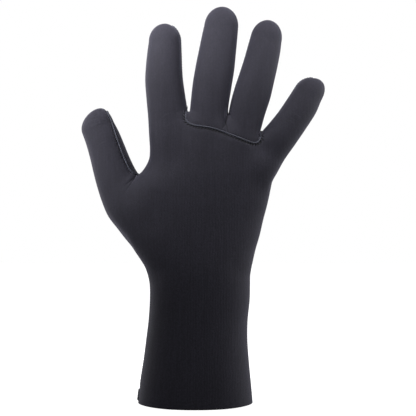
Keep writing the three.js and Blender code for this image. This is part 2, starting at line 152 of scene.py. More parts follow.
# A limb's section at a distance along its axis: middle and half width, middle and half depth, and the share
# of the dome passed, which is nil before the dome and one at the tip. In the dome the middle goes on bending
# as before it.
def sectionAt(limb, along):
    at = along / limb["length"]
    left = columnAt(limb["rows"], 1, at) * limb["width"]
    right = columnAt(limb["rows"], 2, at) * limb["width"]
    domeStart = limb["dome"] * limb["length"]
    into = np.maximum(along - domeStart, 0) / (limb["length"] - domeStart)
    middle = (left + right) / 2 + limb["shift"] * limb["width"] * into**2
    deep = columnAt(limb["rows"], 3, at) * limb["depth"]
    (lastButOne, *_, backBefore), (last, *_, backLast) = limb["rows"][-2:]
    bend = (backLast - backBefore) / (last - lastButOne) * np.maximum(at - last, 0)
    return middle, (right - left) / 2, (columnAt(limb["rows"], 4, at) + bend) * limb["depth"], deep, into


# Roughly the distance to one limb's face: the length of (side/half, depth/deep, into the dome), less one,
# times the thinner half size.
def limbDistance(limb, points):
    reach = points - limb["foot"]
    along = reach @ limb["axis"]
    middle, half, back, deep, into = sectionAt(limb, along)
    power = limb["square"]
    side, front = np.abs(reach @ limb["across"] - middle) / half, np.abs(points[:, 1] - back) / deep
    flat = side**power + front**power
    root = 0 if limb["name"] == "body" else np.maximum(-along, 0) / glove["rootRound"]
    return (np.sqrt(flat ** (2 / power) + into**2 + root**2) - 1) * np.minimum(half, deep)


# The whole glove: the smaller of two limbs' distances, less softness/4 · (1 − their difference/softness)².
def gloveDistance(points, softness):
    whole = limbDistance(limbs["body"], points)
    for name in ("index", "middle", "ring", "little", "thumb"):
        limb = limbDistance(limbs[name], points)
        near = np.maximum(1 - np.abs(whole - limb) / softness, 0)
        whole = np.minimum(whole, limb) - softness / 4 * near**2
    return whole


# How a function of place grows in each direction, from a small step to each side.
def slopeOf(function, points):
    step = 0.04
    slope = np.empty_like(points)
    for i in range(3):
        shift = np.zeros(3)
        shift[i] = step
        slope[:, i] = (function(points + shift) - function(points - shift)) / (2 * step)
    return slope


def unit(vectors):
    return vectors / np.maximum(np.linalg.norm(vectors, axis=-1, keepdims=True), 1e-9)


# The directions straight out of the glove's face.
def outwardsAt(points, softness):
    return unit(slopeOf(lambda p: gloveDistance(p, softness), points))


# Points slide down the slope of the glove's distance until it is nil.
def settle(points, softness, rounds):
    def distance(p):
        return gloveDistance(p, softness)
    for _ in range(rounds):
        slope = slopeOf(distance, points)
        size = np.maximum(np.sum(slope**2, 1), 0.05)
        points = points - slope * np.clip(distance(points) / size, -1.5, 1.5)[:, None]
    return points


def blenderMesh(name, points, faces):
    mesh = bpy.data.meshes.new(name)
    mesh.from_pydata((points * 0.001).tolist(), [], [list(face) for face in faces])
    mesh.shade_smooth()
    return mesh


def newObject(name, data):
    item = bpy.data.objects.new(name, data)
    bpy.context.scene.collection.objects.link(item)
    return item


# A limb's face over (along, turn): foot + along · axis + bent cosine · half width + bent sine · half depth,
# closed by a pole at each end.
def limbFace(limb, spacing=2.5, sides=44):
    domeStart = limb["dome"] * limb["length"]
    start = glove["belowMouth"] if limb["name"] == "body" else 0
    straight = np.linspace(start, domeStart, int((domeStart - start) / spacing))
    dome = domeStart + (limb["length"] - domeStart) * np.sin(np.linspace(0.12, 0.97, 9) * math.pi / 2)
    along = np.concatenate([straight, dome])[:, None]
    turn = (np.arange(sides) / sides * 2 * math.pi)[None, :]
    middle, half, back, deep, into = sectionAt(limb, along)
    closing = np.sqrt(1 - into**2)
    bend = 2 / limb["square"]
    side = middle + half * closing * np.sign(np.cos(turn)) * np.abs(np.cos(turn)) ** bend
    depth = back + deep * closing * np.sign(np.sin(turn)) * np.abs(np.sin(turn)) ** bend
    grid = limb["foot"] + along[..., None] * limb["axis"] + side[..., None] * limb["across"]
    grid[..., 1] = depth
    return closedGrid(grid)


# Quads between neighbouring rows and columns of a grid whose columns run round, and a fan over each end.
def closedGrid(grid):
    rows, sides = grid.shape[:2]
    i, j = np.meshgrid(np.arange(rows - 1), np.arange(sides), indexing="ij")
    a, b = i * sides + j, i * sides + (j + 1) % sides
    quads = np.stack([a, b, b + sides, a + sides], -1).reshape(-1, 4)
    points = np.concatenate([grid.reshape(-1, 3), grid[:1].mean(1), grid[-1:].mean(1)])
    first, last = np.arange(sides), (rows - 1) * sides + np.arange(sides)
    fans = [np.stack([np.roll(first, -1), first, np.full(sides, rows * sides)], 1),
            np.stack([last, np.roll(last, -1), np.full(sides, rows * sides + 1)], 1)]
    return points, quads.tolist() + np.concatenate(fans).tolist()


# The middle of the gap between two limbs: the x where their distances are equal, halved in on at many
# heights.
def gapMiddle(left, right, bottom, top):
    heights = np.linspace(bottom, top, 40)
    low = left["foot"][0] + (heights - left["foot"][2]) * left["axis"][0] / left["axis"][2]
    high = right["foot"][0] + (heights - right["foot"][2]) * right["axis"][0] / right["axis"][2]
    for _ in range(30):
        half = (low + high) / 2
        at = np.stack([half, np.full(40, -2.0), heights], 1)
        nearLeft = limbDistance(left, at) < limbDistance(right, at)
        low, high = np.where(nearLeft, half, low), np.where(nearLeft, high, half)
    return heights, (low + high) / 2


gaps = [
    {"crotch": 212.0, "middle": gapMiddle(limbs["index"], limbs["middle"], 190, 290)},
    {"crotch": 210.5, "middle": gapMiddle(limbs["middle"], limbs["ring"], 190, 290)},
    {"crotch": 192.6, "middle": gapMiddle(limbs["ring"], limbs["little"], 175, 250)},
]


# How far the fingers' gaps are spread sideways for the remeshing: the sum over the gaps of the sign of the
# reach times (root(reach² + 4 · spread · reach) − reach)/2, easing in below each crotch.
def gapShift(across, height):
    total = np.zeros(len(across))
    for gap in gaps:
        ease = np.clip((height - gap["crotch"] + glove["spreadEase"]) / glove["spreadEase"], 0, 1)
        spread = glove["gapSpread"] * ease * ease * (3 - 2 * ease)
        reach = across - np.interp(height, *gap["middle"])
        size = np.abs(reach)
        total += np.sign(reach) * (np.sqrt(size**2 + 4 * spread * size) - size) / 2
    return total


# Takes the spread out again, halving in on the place that it came from.
def closeGaps(points):
    low, high = points[:, 0] - 60, points[:, 0] + 60
    for _ in range(30):
        half = (low + high) / 2
        short = half + gapShift(half, points[:, 2]) < points[:, 0]
        low, high = np.where(short, half, low), np.where(short, high, half)
    return np.stack([(low + high) / 2, points[:, 1], points[:, 2]], 1)


# The limbs laid over each other and remeshed as one skin of even quads.
def joinedSkin():
    points, faces, count = [], [], 0
    for limb in limbs.values():
        limbPoints, limbFaces = limbFace(limb)
        limbPoints[:, 0] += gapShift(limbPoints[:, 0], limbPoints[:, 2])
        points.append(limbPoints)
        faces += [[corner + count for corner in face] for face in limbFaces]
        count += len(limbPoints)
    rough = newObject("roughForm", blenderMesh("roughForm", np.concatenate(points), faces))
    remesh = rough.modifiers.new("Even", "REMESH")
    remesh.mode = "VOXEL"
    remesh.voxel_size = glove["voxel"] * 0.001
    skin = rough.evaluated_get(bpy.context.evaluated_depsgraph_get()).to_mesh()
    skinPoints = np.empty(len(skin.vertices) * 3)
    skin.vertices.foreach_get("co", skinPoints)
    corners = np.empty(len(skin.loops), int)
    skin.loops.foreach_get("vertex_index", corners)
    bpy.data.objects.remove(rough)
    return closeGaps(skinPoints.reshape(-1, 3) * 1000), corners.reshape(-1, 4)


# The sides of all faces as rows of two corners.
def sidesOf(faces):
    sides = faces.shape[1]
    return np.concatenate([faces[:, [k, (k + 1) % sides]] for k in range(sides)])


def neighbourMean(points, ends):
    count = np.maximum(np.bincount(ends[:, 0], minlength=len(points)), 1)[:, None]
    sums = [np.bincount(ends[:, 0], points[ends[:, 1], k], len(points)) for k in range(3)]
    return np.stack(sums, 1) / count


# Each point moves halfway to the mean of its neighbours, but only along the surface.
def evenOut(points, quads, normals):
    step = (neighbourMean(points, sidesOf(quads)) - points) * 0.5
    return points + step - np.sum(step * normals, 1, keepdims=True) * normals


crotchRound = glove["crotchRound"]
skinPoints, skinQuads = joinedSkin()
for _ in range(3):
    skinPoints = settle(skinPoints, crotchRound, 1)
    skinPoints = evenOut(skinPoints, skinQuads, outwardsAt(skinPoints, crotchRound))
skinPoints = settle(skinPoints, crotchRound, 2)
print("skin:", len(skinPoints), "points")


# A line through points as a cubic curve over the way between them, at even steps.
def smoothLine(points, step):
    points = np.array(points, float)
    way = np.concatenate([[0], np.cumsum(np.linalg.norm(np.diff(points, axis=0), axis=1))])
    rows = np.column_stack([way, points])
    places = np.linspace(0, way[-1], int(round(way[-1] / step)) + 1)
    return np.stack([columnAt(rows, k + 1, places) for k in range(points.shape[1])], 1)


# Distance to a closed outline of (x, z) in the front view, positive inside it.
def insideOf(outline, points):
    px, pz = points[:, 0][:, None], points[:, 2][:, None]
    (ax, az), (bx, bz) = outline.T, np.roll(outline, -1, 0).T
    dx, dz = bx - ax, bz - az
    share = np.clip(((px - ax) * dx + (pz - az) * dz) / (dx**2 + dz**2), 0, 1)
    nearest = np.sqrt(np.min((px - ax - share * dx) ** 2 + (pz - az - share * dz) ** 2, 1))
    crossed = ((az > pz) != (bz > pz)) & (px < ax + (pz - az) * dx / np.where(dz == 0, 1e-9, dz))
    return np.where(crossed.sum(1) % 2 == 1, nearest, -nearest)


# The finger seam in shares of the way from the crotch beside the index finger to the one beside the little
# finger, and the gaps between the fingers above both of its ends.
fingerBorder = {
    "indexCrotch": (-5.6, 212.0),
    "littleCrotch": (46.7, 192.6),
    "rows": [
        (0.014, 0.05), (0.024, 0.105), (0.036, 0.143), (0.068, 0.182),
        (0.136, 0.197), (0.238, 0.184), (0.372, 0.155),
        (0.572, 0.146), (0.785, 0.148), (0.926, 0.148), (0.99, 0.128), (1.02, 0.085), (1.014, 0.045),
    ],
    "gapTop": [(62.0, 225.0), (76.0, 250.0), (95.0, 320.0), (3.0, 320.0), (3.0, 280.0), (-3.5, 232.0)],
}
# The thumb seam in shares of the thumb's length and width, and the way round beyond it.
thumbBorder = {
    "rows": [
        (0.955, 0.218), (0.909, 0.235), (0.871, 0.238), (0.791, 0.229), (0.729, 0.22), (0.646, 0.219),
        (0.563, 0.2375), (0.522, 0.264), (0.498, 0.314), (0.486, 0.385), (0.489, 0.46),
    ],
    "beyond": [(0.7, 0.8), (1.15, 0.5)],
}


def onLimb(limb, at, side):
    place = limb["foot"] + at * limb["length"] * limb["axis"] + side * limb["width"] * limb["across"]
    return [place[0], place[2]]


def fingerOutline():
    start, end = np.array(fingerBorder["indexCrotch"]), np.array(fingerBorder["littleCrotch"])
    span = end - start
    drop = np.array([span[1], -span[0]])
    seam = [start + span * along + drop * down for along, down in fingerBorder["rows"]]
    line = smoothLine([start, *seam, end], 1.0)
    return np.concatenate([line, fingerBorder["gapTop"]])


def thumbOutline():
    thumb = limbs["thumb"]
    seam = smoothLine([onLimb(thumb, at, side) for at, side in thumbBorder["rows"]], 1.0)
    beyond = [onLimb(thumb, at, side) for at, side in thumbBorder["beyond"]]
    return np.concatenate([seam, [seam[-1] + [0, 6]], beyond])


fingerLine, thumbLine = fingerOutline(), thumbOutline()
mouthDeep = limbs["body"]["rows"][0, 3] * limbs["body"]["depth"]
borders = [
    lambda p: p[:, 2] + glove["mouthDip"] * (p[:, 1] / mouthDeep) ** 2,  # above the mouth's cut
    lambda p: insideOf(fingerLine, p),
    lambda p: insideOf(thumbLine, p),
]


# Moves points onto a border, and then along it back onto the surface.
def ontoBorder(border, points, softness, rounds):
    for _ in range(rounds):
        outwards = slopeOf(lambda p: gloveDistance(p, softness), points)
        across = unit(slopeOf(border, points))
        points = points - across * border(points)[:, None]
        along = outwards - np.sum(outwards * across, 1, keepdims=True) * across
        size = np.maximum(np.sum(along**2, 1), 0.1)
        points = points - along * np.clip(gloveDistance(points, softness) / size, -0.5, 0.5)[:, None]
    return points


# Cuts the triangles that a border crosses. Corners close to it move onto it; each crossed edge gets a point
# at the share side/(side − other side) of its length. Gives the points, the triangles and the points'
# sides.
def cutAlong(border, points, faces, softness):
    sides = border(points)
    near = np.abs(sides) < glove["snap"]
    points = points.copy()
    points[near] = ontoBorder(border, points[near], softness, 2)
    sides[near] = 0
    signs = np.sign(sides)[faces]
    mixed = (signs.min(1) < 0) & (signs.max(1) > 0)
    whole, faces, signs = faces[~mixed], faces[mixed], signs[mixed]
    touching = signs.prod(1) == 0
    alone = signs == -signs.sum(1, keepdims=True)
    lone = np.where(touching, np.argmin(np.abs(signs), 1), np.argmax(alone, 1))
    faces = np.take_along_axis(faces, (lone[:, None] + np.arange(3)) % 3, 1)
    two, one = faces[~touching], faces[touching]
    crossed = np.sort(np.concatenate([two[:, [0, 1]], two[:, [2, 0]], one[:, [1, 2]]]), 1)
    crossed, place = np.unique(crossed, axis=0, return_inverse=True)
    place = place.ravel() + len(points)
    first, second = crossed.T
    share = (sides[first] / (sides[first] - sides[second]))[:, None]
    added = ontoBorder(border, points[first] * (1 - share) + points[second] * share, softness, 1)
    p, q, r = place[:len(two)], place[len(two):2 * len(two)], place[2 * len(two):]
    (a, b, c), (d, e, f) = two.T, one.T
    parts = [(a, p, q), (p, b, c), (p, c, q), (d, e, r), (d, r, f)]
    faces = np.concatenate([whole] + [np.stack(part, 1) for part in parts])
    return np.concatenate([points, added]), faces, np.concatenate([sides, np.zeros(len(added))])


skinFaces = np.concatenate([skinQuads[:, [0, 1, 2]], skinQuads[:, [0, 2, 3]]])
signs = []
for border in borders:
    skinPoints, skinFaces, sides = cutAlong(border, skinPoints, skinFaces, crotchRound)
    added = skinPoints[len(signs[0]):] if signs else []
    signs = [np.concatenate([row, np.sign(earlier(added))]) for row, earlier in zip(signs, borders)]
    signs.append(np.sign(sides))
signs = np.array(signs)

# Softens kinks where the tables' rows meet: passes of half the way to the mean of the neighbours and a
# little more than half the way back, each in its point's share.
def evenSwells(points, faces, share, rounds=24):
    ends = sidesOf(faces)
    for step in [0.5, -0.52] * rounds:
        points = points + (neighbourMean(points, ends) - points) * step * share
    return points


# valleys fill softly on the back and on the palm, and stay sharp where the outline shows them
sharp = outwardsAt(skinPoints, crotchRound)
soft = settle(skinPoints, glove["valleyRound"], 3)
share = np.clip((np.abs(sharp[:, 1]) - 0.3) / 0.4, 0, 1)
share = (share**2 * (3 - 2 * share))[:, None]
skinPoints = skinPoints + (soft - skinPoints) * share
skinPoints = evenSwells(skinPoints, skinFaces, share * np.all(signs != 0, 0)[:, None])
print("skin settled on the glove's form")

faceSigns = signs[:, skinFaces].sum(2)
panelFaces = {
    "main_panel": skinFaces[(faceSigns[0] > 0) & (faceSigns[1] <= 0) & (faceSigns[2] <= 0)],
    "middle_ring_panel": skinFaces[faceSigns[1] > 0],
    "thumb_inner_panel": skinFaces[(faceSigns[1] <= 0) & (faceSigns[2] > 0)],
}
print("panels:", {name: len(faces) for name, faces in panelFaces.items()})


# Folds and hollows pressed into the back of the hand: depth · exp(−(distance/width)²) from a line of (x,
# z), easing out over the latter half of the line. A hollow is a line of one point.
folds = [
    # between the ring and middle fingers, and its two ends below
    {"line": [(24.0, 211.0), (23.1, 204.5), (22.1, 200.0)], "width": 1.6, "depth": 1.5},
    {"line": [(22.2, 201.0), (21.4, 198.6), (19.8, 196.0)], "width": 1.3, "depth": 0.7},
    {"line": [(22.2, 201.0), (23.0, 198.0), (23.6, 194.0)], "width": 1.3, "depth": 0.8},
    # the thumb's web
    {"line": [(-40.5, 163.6), (-42.1, 162.3), (-50.6, 155.1), (-53.5, 152.0)], "width": 1.0, "depth": 0.4},
    {"line": [(-42.0, 161.0), (-47.5, 155.0), (-52.1, 147.7)], "width": 1.0, "depth": 0.22},
    # under the knuckles, beside the thumb's heel, and the two sides of the wrist
    {"line": [(49.5, 182.0)], "width": 8.0, "depth": 1.8},
    {"line": [(-32.0, 128.0), (-26.0, 142.0), (-24.0, 152.0)], "width": 9.0, "depth": 0.9},
    {"line": [(-27.0, 92.0), (-20.0, 99.0)], "width": 6.0, "depth": 0.5},
    {"line": [(31.0, 96.0), (24.0, 103.0)], "width": 6.0, "depth": 0.4},
]


def distanceToLine(line, points):
    line = np.array(line, float)
    if len(line) == 1:
        return np.hypot(points[:, 0] - line[0, 0], points[:, 2] - line[0, 1]), np.zeros(len(points))
    a, b = line[:-1], line[1:]
    step = b - a
    size = np.sum(step**2, 1)
    dx, dz = points[:, 0][:, None] - a[:, 0], points[:, 2][:, None] - a[:, 1]
    share = np.clip((dx * step[:, 0] + dz * step[:, 1]) / size, 0, 1)
    away = np.hypot(dx - share * step[:, 0], dz - share * step[:, 1])
    nearest = np.argmin(away, 1)
    row = np.arange(len(points))
    lengths = np.sqrt(size)
    begun = np.concatenate([[0], np.cumsum(lengths)[:-1]])
    return away[row, nearest], begun[nearest] + share[row, nearest] * lengths[nearest]


def pressFolds(points, normals):
    onBack = np.clip((-normals[:, 1] - 0.15) / 0.4, 0, 1)
    depth = np.zeros(len(points))
    for fold in folds:
        away, along = distanceToLine(fold["line"], points)
        whole = sum(math.dist(p, q) for p, q in zip(fold["line"], fold["line"][1:]))
        ease = 1 if whole == 0 else np.clip((whole - along) / (whole * 0.5), 0, 1) ** 0.7
        depth += fold["depth"] * np.exp(-((away / fold["width"]) ** 2)) * ease
    return points - normals * (depth * onBack)[:, None]


# The sides that no second face shares.
def openSides(faces, count):
    edges = sidesOf(faces)
    return edges[~np.isin(edges[:, 0] * count + edges[:, 1], edges[:, 1] * count + edges[:, 0])]


# The longest open edge of a panel as one closed chain of points, each side leading to the next.
def openEdge(faces, count):
    follows = {int(a): int(b) for a, b in openSides(faces, count)}
    chains = []
    while follows:
        here = next(iter(follows))
        chain = []
        while here in follows:
            chain.append(here)
            here = follows.pop(here)
        chains.append(chain)
    return max(chains, key=len)


# A path evened out: each point is the mean of its neighbours within reach, weighted by
# exp(−(distance/reach)²), then set at even steps.
def evenPath(path, closed, step, reach=2.0):
    path = np.asarray(path, float)
    ring = np.concatenate([path, path[:1]]) if closed else path
    way = np.concatenate([[0], np.cumsum(np.linalg.norm(np.diff(ring, axis=0), axis=1))])
    whole = way[-1]
    count = int(round(whole / step))
    places = np.arange(count) * whole / count if closed else np.linspace(0, whole, count + 1)
    fine = np.stack([np.interp(places, way, ring[:, k]) for k in range(3)], 1)
    apart = np.abs(places[:, None] - places[None, :])
    if closed:
        apart = np.minimum(apart, whole - apart)
        weight = np.exp(-((apart / reach) ** 2))
    else:
        room = np.minimum(places, whole - places)
        weight = np.exp(-((apart / np.maximum(np.minimum(reach, room), 0.05)[:, None]) ** 2))
    return weight @ fine / weight.sum(1, keepdims=True), places, whole


normals = outwardsAt(skinPoints, glove["valleyRound"] / 2)
skinPoints = pressFolds(skinPoints, normals)
outerFaces = np.concatenate(list(panelFaces.values()))
skinTree = BVHTree.FromPolygons(skinPoints.tolist(), outerFaces.tolist())


def nearestNormals(points):
    return unit(np.array([skinTree.find_nearest(Vector(point))[1] for point in points]))


# Seams that close a finger or the cuff: rows of (share of the limb's length, its side as a share of the
# width or None for its middle, turn in degrees from the side towards the palm).
overTip = [(0.985, None, 12), (0.92, None, 12), (0.78, None, 14), (0.62, None, 18)]
closings = {
    "index_finger_seam": {"limb": "index", "towards": 1, "rows": [
        (0.985, None, -2), (0.92, None, -4), (0.78, None, 0),
        (0.62, None, 14), (0.47, None, 26), (0.37, None, 42),
        (0.3, None, 52)]},
    "middle_finger_seam": {"limb": "middle", "towards": 1, "rows": [
        *overTip, (0.45, None, 26), (0.34, None, 42), (0.25, None, 56), (0.19, None, 60)]},
    "ring_finger_seam": {"limb": "ring", "towards": -1, "rows": [
        *overTip, (0.46, None, 26), (0.36, None, 38), (0.3, None, 46)]},
    "little_finger_seam": {"limb": "little", "towards": -1, "rows": [
        (0.985, None, -4), (0.9, None, -2), (0.74, None, 8), (0.58, None, 18), (0.46, None, 32),
        (0.36, None, 48)]},
    "cuff_side_seam": {"limb": "body", "towards": -1, "rows": [
        (0.055, 0, 4), (0.2, 0, 10), (0.32, -0.05, 22),
        (0.43, -0.13, 38), (0.53, -0.25, 65), (0.63, -0.3, 80),
        (0.71, -0.345, 85), (0.775, -0.42, 90)]},
    "seam_end_tack": {"limb": "body", "towards": -1, "rows": [(0.003, 0, 3), (0.046, 0, 4)]},
}


# Where rays from the limb's middle leave the glove's face, joined by a smooth line along it.
def closingPath(seam):
    limb = limbs[seam["limb"]]
    found = []
    for at, side, turn in seam["rows"]:
        angle = math.radians(turn)
        middle, half, back, deep, _ = (float(v) for v in sectionAt(limb, np.array(at * limb["length"])))
        across = middle if side is None else side * limb["width"]
        start = limb["foot"] + at * limb["length"] * limb["axis"] + across * limb["across"] + [0, back, 0]
        direction = limb["across"] * seam["towards"] * half * math.cos(angle)
        direction = direction + np.array([0, deep * math.sin(angle), 0])
        found.append(skinTree.ray_cast(Vector(start), Vector(direction).normalized())[0])
    return np.array([skinTree.find_nearest(Vector(point))[0] for point in smoothLine(found, 1.0)])


joints = {
    "finger_base_seam": {"panel": "middle_ring_panel", "pitch": glove["pitch"]},
    "thumb_seam": {"panel": "thumb_inner_panel", "pitch": glove["thumbPitch"]},
}
seamPaths = {}
for name, joint in joints.items():
    edge = skinPoints[openEdge(panelFaces[joint["panel"]], len(skinPoints))]
    seamPaths[name] = {"path": edge, "closed": True, "pitch": joint["pitch"]}
for name, seam in closings.items():
    seamPaths[name] = {"path": closingPath(seam), "closed": False, "pitch": glove["pitch"]}
for name, seam in seamPaths.items():
    step = glove["pitch"] / 5
    path, places, whole = evenPath(seam["path"], seam["closed"], step, 1.6 if seam["closed"] else 1.0)
    out = nearestNormals(path)
    if seam["closed"]:
        out = sum(np.roll(out, k, 0) for k in range(-4, 5))
    else:
        padded = np.pad(out, ((4, 4), (0, 0)), "edge")
        out = sum(padded[k:k + len(out)] for k in range(9))
    seam.update(path=path, places=places, whole=whole, out=unit(out), count=int(round(whole / seam["pitch"])))
print("seams:", {name: round(seam["whole"]) for name, seam in seamPaths.items()})

# How each panel's face answers to the seams near it: how hard each one pulls the cloth in, and how dark the
# painted shade beside it is.
panels = {
    "main_panel": {
        "finger_base_seam": 1.0, "thumb_seam": 0.75, "cuff_side_seam": 0.6, "index_finger_seam": 0.5,
        "little_finger_seam": 0.5},
    "middle_ring_panel": {"finger_base_seam": 0.15, "middle_finger_seam": 0.5, "ring_finger_seam": 0.5},
    "thumb_inner_panel": {"thumb_seam": 0.12},
}
pullShape = {"dip": 0.4, "dipWidth": 1.6, "swell": 0.08, "swellAt": 4.2, "swellWidth": 2.2}


# For each point the distance to the nearest seam, the place along it counted in stitches, and its pull; far
# from all of them the distance stays at its limit.
def seamReach(points, pulls, limit=14.0):
    away = np.full(len(points), limit)
    along, pull = np.zeros(len(points)), np.zeros(len(points))
    for name, strength in pulls.items():
        seam = seamPaths[name]
        path = seam["path"]
        low, high = path.min(0) - limit, path.max(0) + limit
        near = np.flatnonzero(np.all((points > low) & (points < high), 1))
        tangent = unit(np.gradient(path, axis=0))
        for part in np.array_split(near, max(len(near) // 3000, 1)):
            gap = points[part][:, None, :] - path[None, :, :]
            squares = np.einsum("ijk,ijk->ij", gap, gap)
            best = np.argmin(squares, 1)
            row = np.arange(len(part))
            distance = np.sqrt(squares[row, best])
            closer = distance < away[part]
            chosen = part[closer]
            away[chosen] = distance[closer]
            step = np.einsum("ij,ij->i", gap[row, best], tangent[best])
            along[chosen] = (seam["places"][best] + step)[closer] * seam["count"] / seam["whole"]
            pull[chosen] = strength
    return away, along, pull


def addAttribute(mesh, name, values):
    mesh.attributes.new(name, "FLOAT", "POINT").data.foreach_set("value", np.asarray(values, np.float32))


def linkPiece(name, mesh, node):
    piece = newObject(name, mesh)
    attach(piece, "root")
    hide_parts(node)
    return piece


# A panel is its share of the skin, dipped at the seams: face − dip · exp(−(away/width)²) + a low swell
# beyond, with its joint edges drawn back by half the gap, thickened inwards by the wall.
def panelPiece(name, pulls):
    faces = panelFaces[name]
    used, corners = np.unique(faces, return_inverse=True)
    corners = corners.reshape(faces.shape)
    points, out = skinPoints[used], normals[used]
    away, along, pull = seamReach(points, pulls)
    dip = pullShape["dip"] * np.exp(-((away / pullShape["dipWidth"]) ** 2))
    swell = pullShape["swell"] * np.exp(-(((away - pullShape["swellAt"]) / pullShape["swellWidth"]) ** 2))
    points = points + out * ((swell - dip) * np.minimum(pull + 0.3, 1))[:, None]
    edges = sidesOf(corners)
    mean = neighbourMean(points, np.concatenate([edges, edges[:, ::-1]]))
    rim = np.unique(openSides(corners, len(points)))
    atJoint = rim[away[rim] < glove["jointReach"]]
    points[atJoint] += unit(mean[atJoint] - points[atJoint]) * glove["jointGap"] / 2
    turned = np.clip((np.abs(out[:, 0]) - 0.55) / 0.3, 0, 1)
    mesh = blenderMesh(name + "Face", points, corners)
    addAttribute(mesh, "seamAway", away)
    addAttribute(mesh, "seamAlong", along)
    addAttribute(mesh, "seamPull", pull)
    addAttribute(mesh, "turnedAway", turned * turned * (3 - 2 * turned))
    piece = linkPiece(name + "Cloth", mesh, name)
    thick = piece.modifiers.new("Wall", "SOLIDIFY")
    thick.thickness = glove["wall"] * 0.001
    thick.offset = -1
    thick.material_offset = 1
    thick.material_offset_rim = 2
    return piece


clothPieces = {name: panelPiece(name, pulls) for name, pulls in panels.items()}
print("panels built")

# The thread ridge over each seam, and the side (1 or −1) on which stitches cross from it onto the
# neighbouring cloth. Shade sets how far the stitches are darkened, as painted shade.
jointThread = {"radius": 0.52, "flat": 1.0, "lump": 0.13, "twist": 1, "sink": 0.1}
closingThread = {"radius": 0.75, "flat": 1.1, "lump": 0.12, "twist": 1, "sink": 0.4, "stitches": 0}
stitchedThread = {**closingThread, "lump": 0.2, "sink": 0.3, "stitches": -1, "shade": -0.3}
threads = {
    "finger_base_seam": {**jointThread, "stitches": 1, "shade": -0.8},
    "thumb_seam": {**jointThread, "stitches": -1, "shade": 0.0},
    "cuff_side_seam": {**closingThread, "radius": 0.8},
    "seam_end_tack": {**closingThread, "radius": 1.3, "flat": 1.0, "twist": 0, "pitch": 0.75, "sink": 0.2},
    "index_finger_seam": stitchedThread,
    "middle_finger_seam": closingThread,
    "ring_finger_seam": closingThread,
    "little_finger_seam": stitchedThread,
}
stitch = {
    "start": 0.3, "reach": 2.0, "rise": 0.2, "lift": 0.35, "tuck": 0.25, "slant": 0.9, "radius": 0.16,
    "rows": 7, "sides": 6,
}


# A path's own directions: out of the face, and sideways along it.
def framesAlong(seam):
    if seam["closed"]:
        tangent = np.roll(seam["path"], -1, 0) - np.roll(seam["path"], 1, 0)
    else:
        tangent = np.gradient(seam["path"], axis=0)
    tangent = unit(tangent)
    sideways = unit(np.cross(tangent, seam["out"]))
    return np.cross(sideways, tangent), sideways


# Ridge over (place, turn): path − sink · out + radius · (1 + lump · cos(2π · place/pitch + twist · turn)) ·
# (cosine · out + flat · sine · sideways), rounded over its last radius at open ends.
def ridgeSurface(seam, thread, sides=10):
    out, sideways = framesAlong(seam)
    places = seam["places"][:, None]
    turn = (np.arange(sides) / sides * 2 * math.pi)[None, :]
    pitch = thread.get("pitch", seam["whole"] / seam["count"])
    wave = np.cos(2 * math.pi * places / pitch + thread["twist"] * turn)
    size = thread["radius"] * (1 + thread["lump"] * wave)
    if not seam["closed"]:
        fromEnd = np.minimum(places, seam["whole"] - places) / thread["radius"]
        size = size * np.sqrt(1 - np.clip(1 - fromEnd, 0, 0.985) ** 2)
    centre = seam["path"] - out * thread["sink"]
    grid = centre[:, None, :] + (size * np.cos(turn))[..., None] * out[:, None, :]
    grid = grid + (size * np.sin(turn) * thread["flat"])[..., None] * sideways[:, None, :]
    if not seam["closed"]:
        points, faces = closedGrid(grid)
        return points, faces, np.concatenate([np.broadcast_to(wave, grid.shape[:2]).ravel(), [0, 0]])
    rows = len(grid)
    i, j = np.meshgrid(np.arange(rows), np.arange(sides), indexing="ij")
    below, right = (i + 1) % rows, (j + 1) % sides
    quads = np.stack([i * sides + j, i * sides + right, below * sides + right, below * sides + j], -1)
    return grid.reshape(-1, 3), quads.reshape(-1, 4).tolist(), wave.ravel()


# Stitches over (number, row, turn), on one side (1 or −1): each bows from the ridge over the cloth beside
# it, rise · sin(π · row) + lift · (1 − row)² − tuck · row high and leaning along the seam, and thins at both
# ends.
def stitchSurface(seam, onSide):
    count = seam["count"]
    starts = (np.arange(count) + 0.5) * seam["whole"] / count
    share = np.linspace(0, 1, stitch["rows"])
    at = (starts[:, None] + stitch["slant"] * (share[None, :] - 0.5)) % seam["whole"]
    out, sideways = framesAlong(seam)
    rank = at / seam["whole"] * len(seam["path"])
    low = np.floor(rank).astype(int) % len(seam["path"])
    part = (rank - np.floor(rank))[..., None]
    def along(values):
        return values[low] * (1 - part) + values[(low + 1) % len(values)] * part
    outHere, sideHere = unit(along(out)), unit(along(sideways))
    across = (stitch["start"] + (stitch["reach"] - stitch["start"]) * share) * onSide
    height = stitch["rise"] * np.sin(math.pi * share) + stitch["lift"] * (1 - share) ** 2
    height = height - stitch["tuck"] * share
    line = along(seam["path"]) + sideHere * across[:, None] + outHere * height[:, None]
    tangent = unit(np.gradient(line, axis=1))
    second = unit(np.cross(tangent, outHere))
    third = np.cross(second, tangent)
    turn = np.arange(stitch["sides"]) / stitch["sides"] * 2 * math.pi
    size = stitch["radius"] * (0.35 + 0.65 * np.sin(math.pi * (0.08 + 0.84 * share)))
    ring = np.cos(turn)[:, None] * third[:, :, None, :] + np.sin(turn)[:, None] * second[:, :, None, :]
    grid = line[:, :, None, :] + ring * size[None, :, None, None]
    rows, sides = stitch["rows"], stitch["sides"]
    one = closedGrid(grid[0])[1]
    poles = np.stack([grid[:, 0].mean(1), grid[:, -1].mean(1)], 1)
    points = np.concatenate([grid.reshape(count, rows * sides, 3), poles], 1)
    faces = [[corner + k * points.shape[1] for corner in face] for k in range(count) for face in one]
    return points.reshape(-1, 3), faces


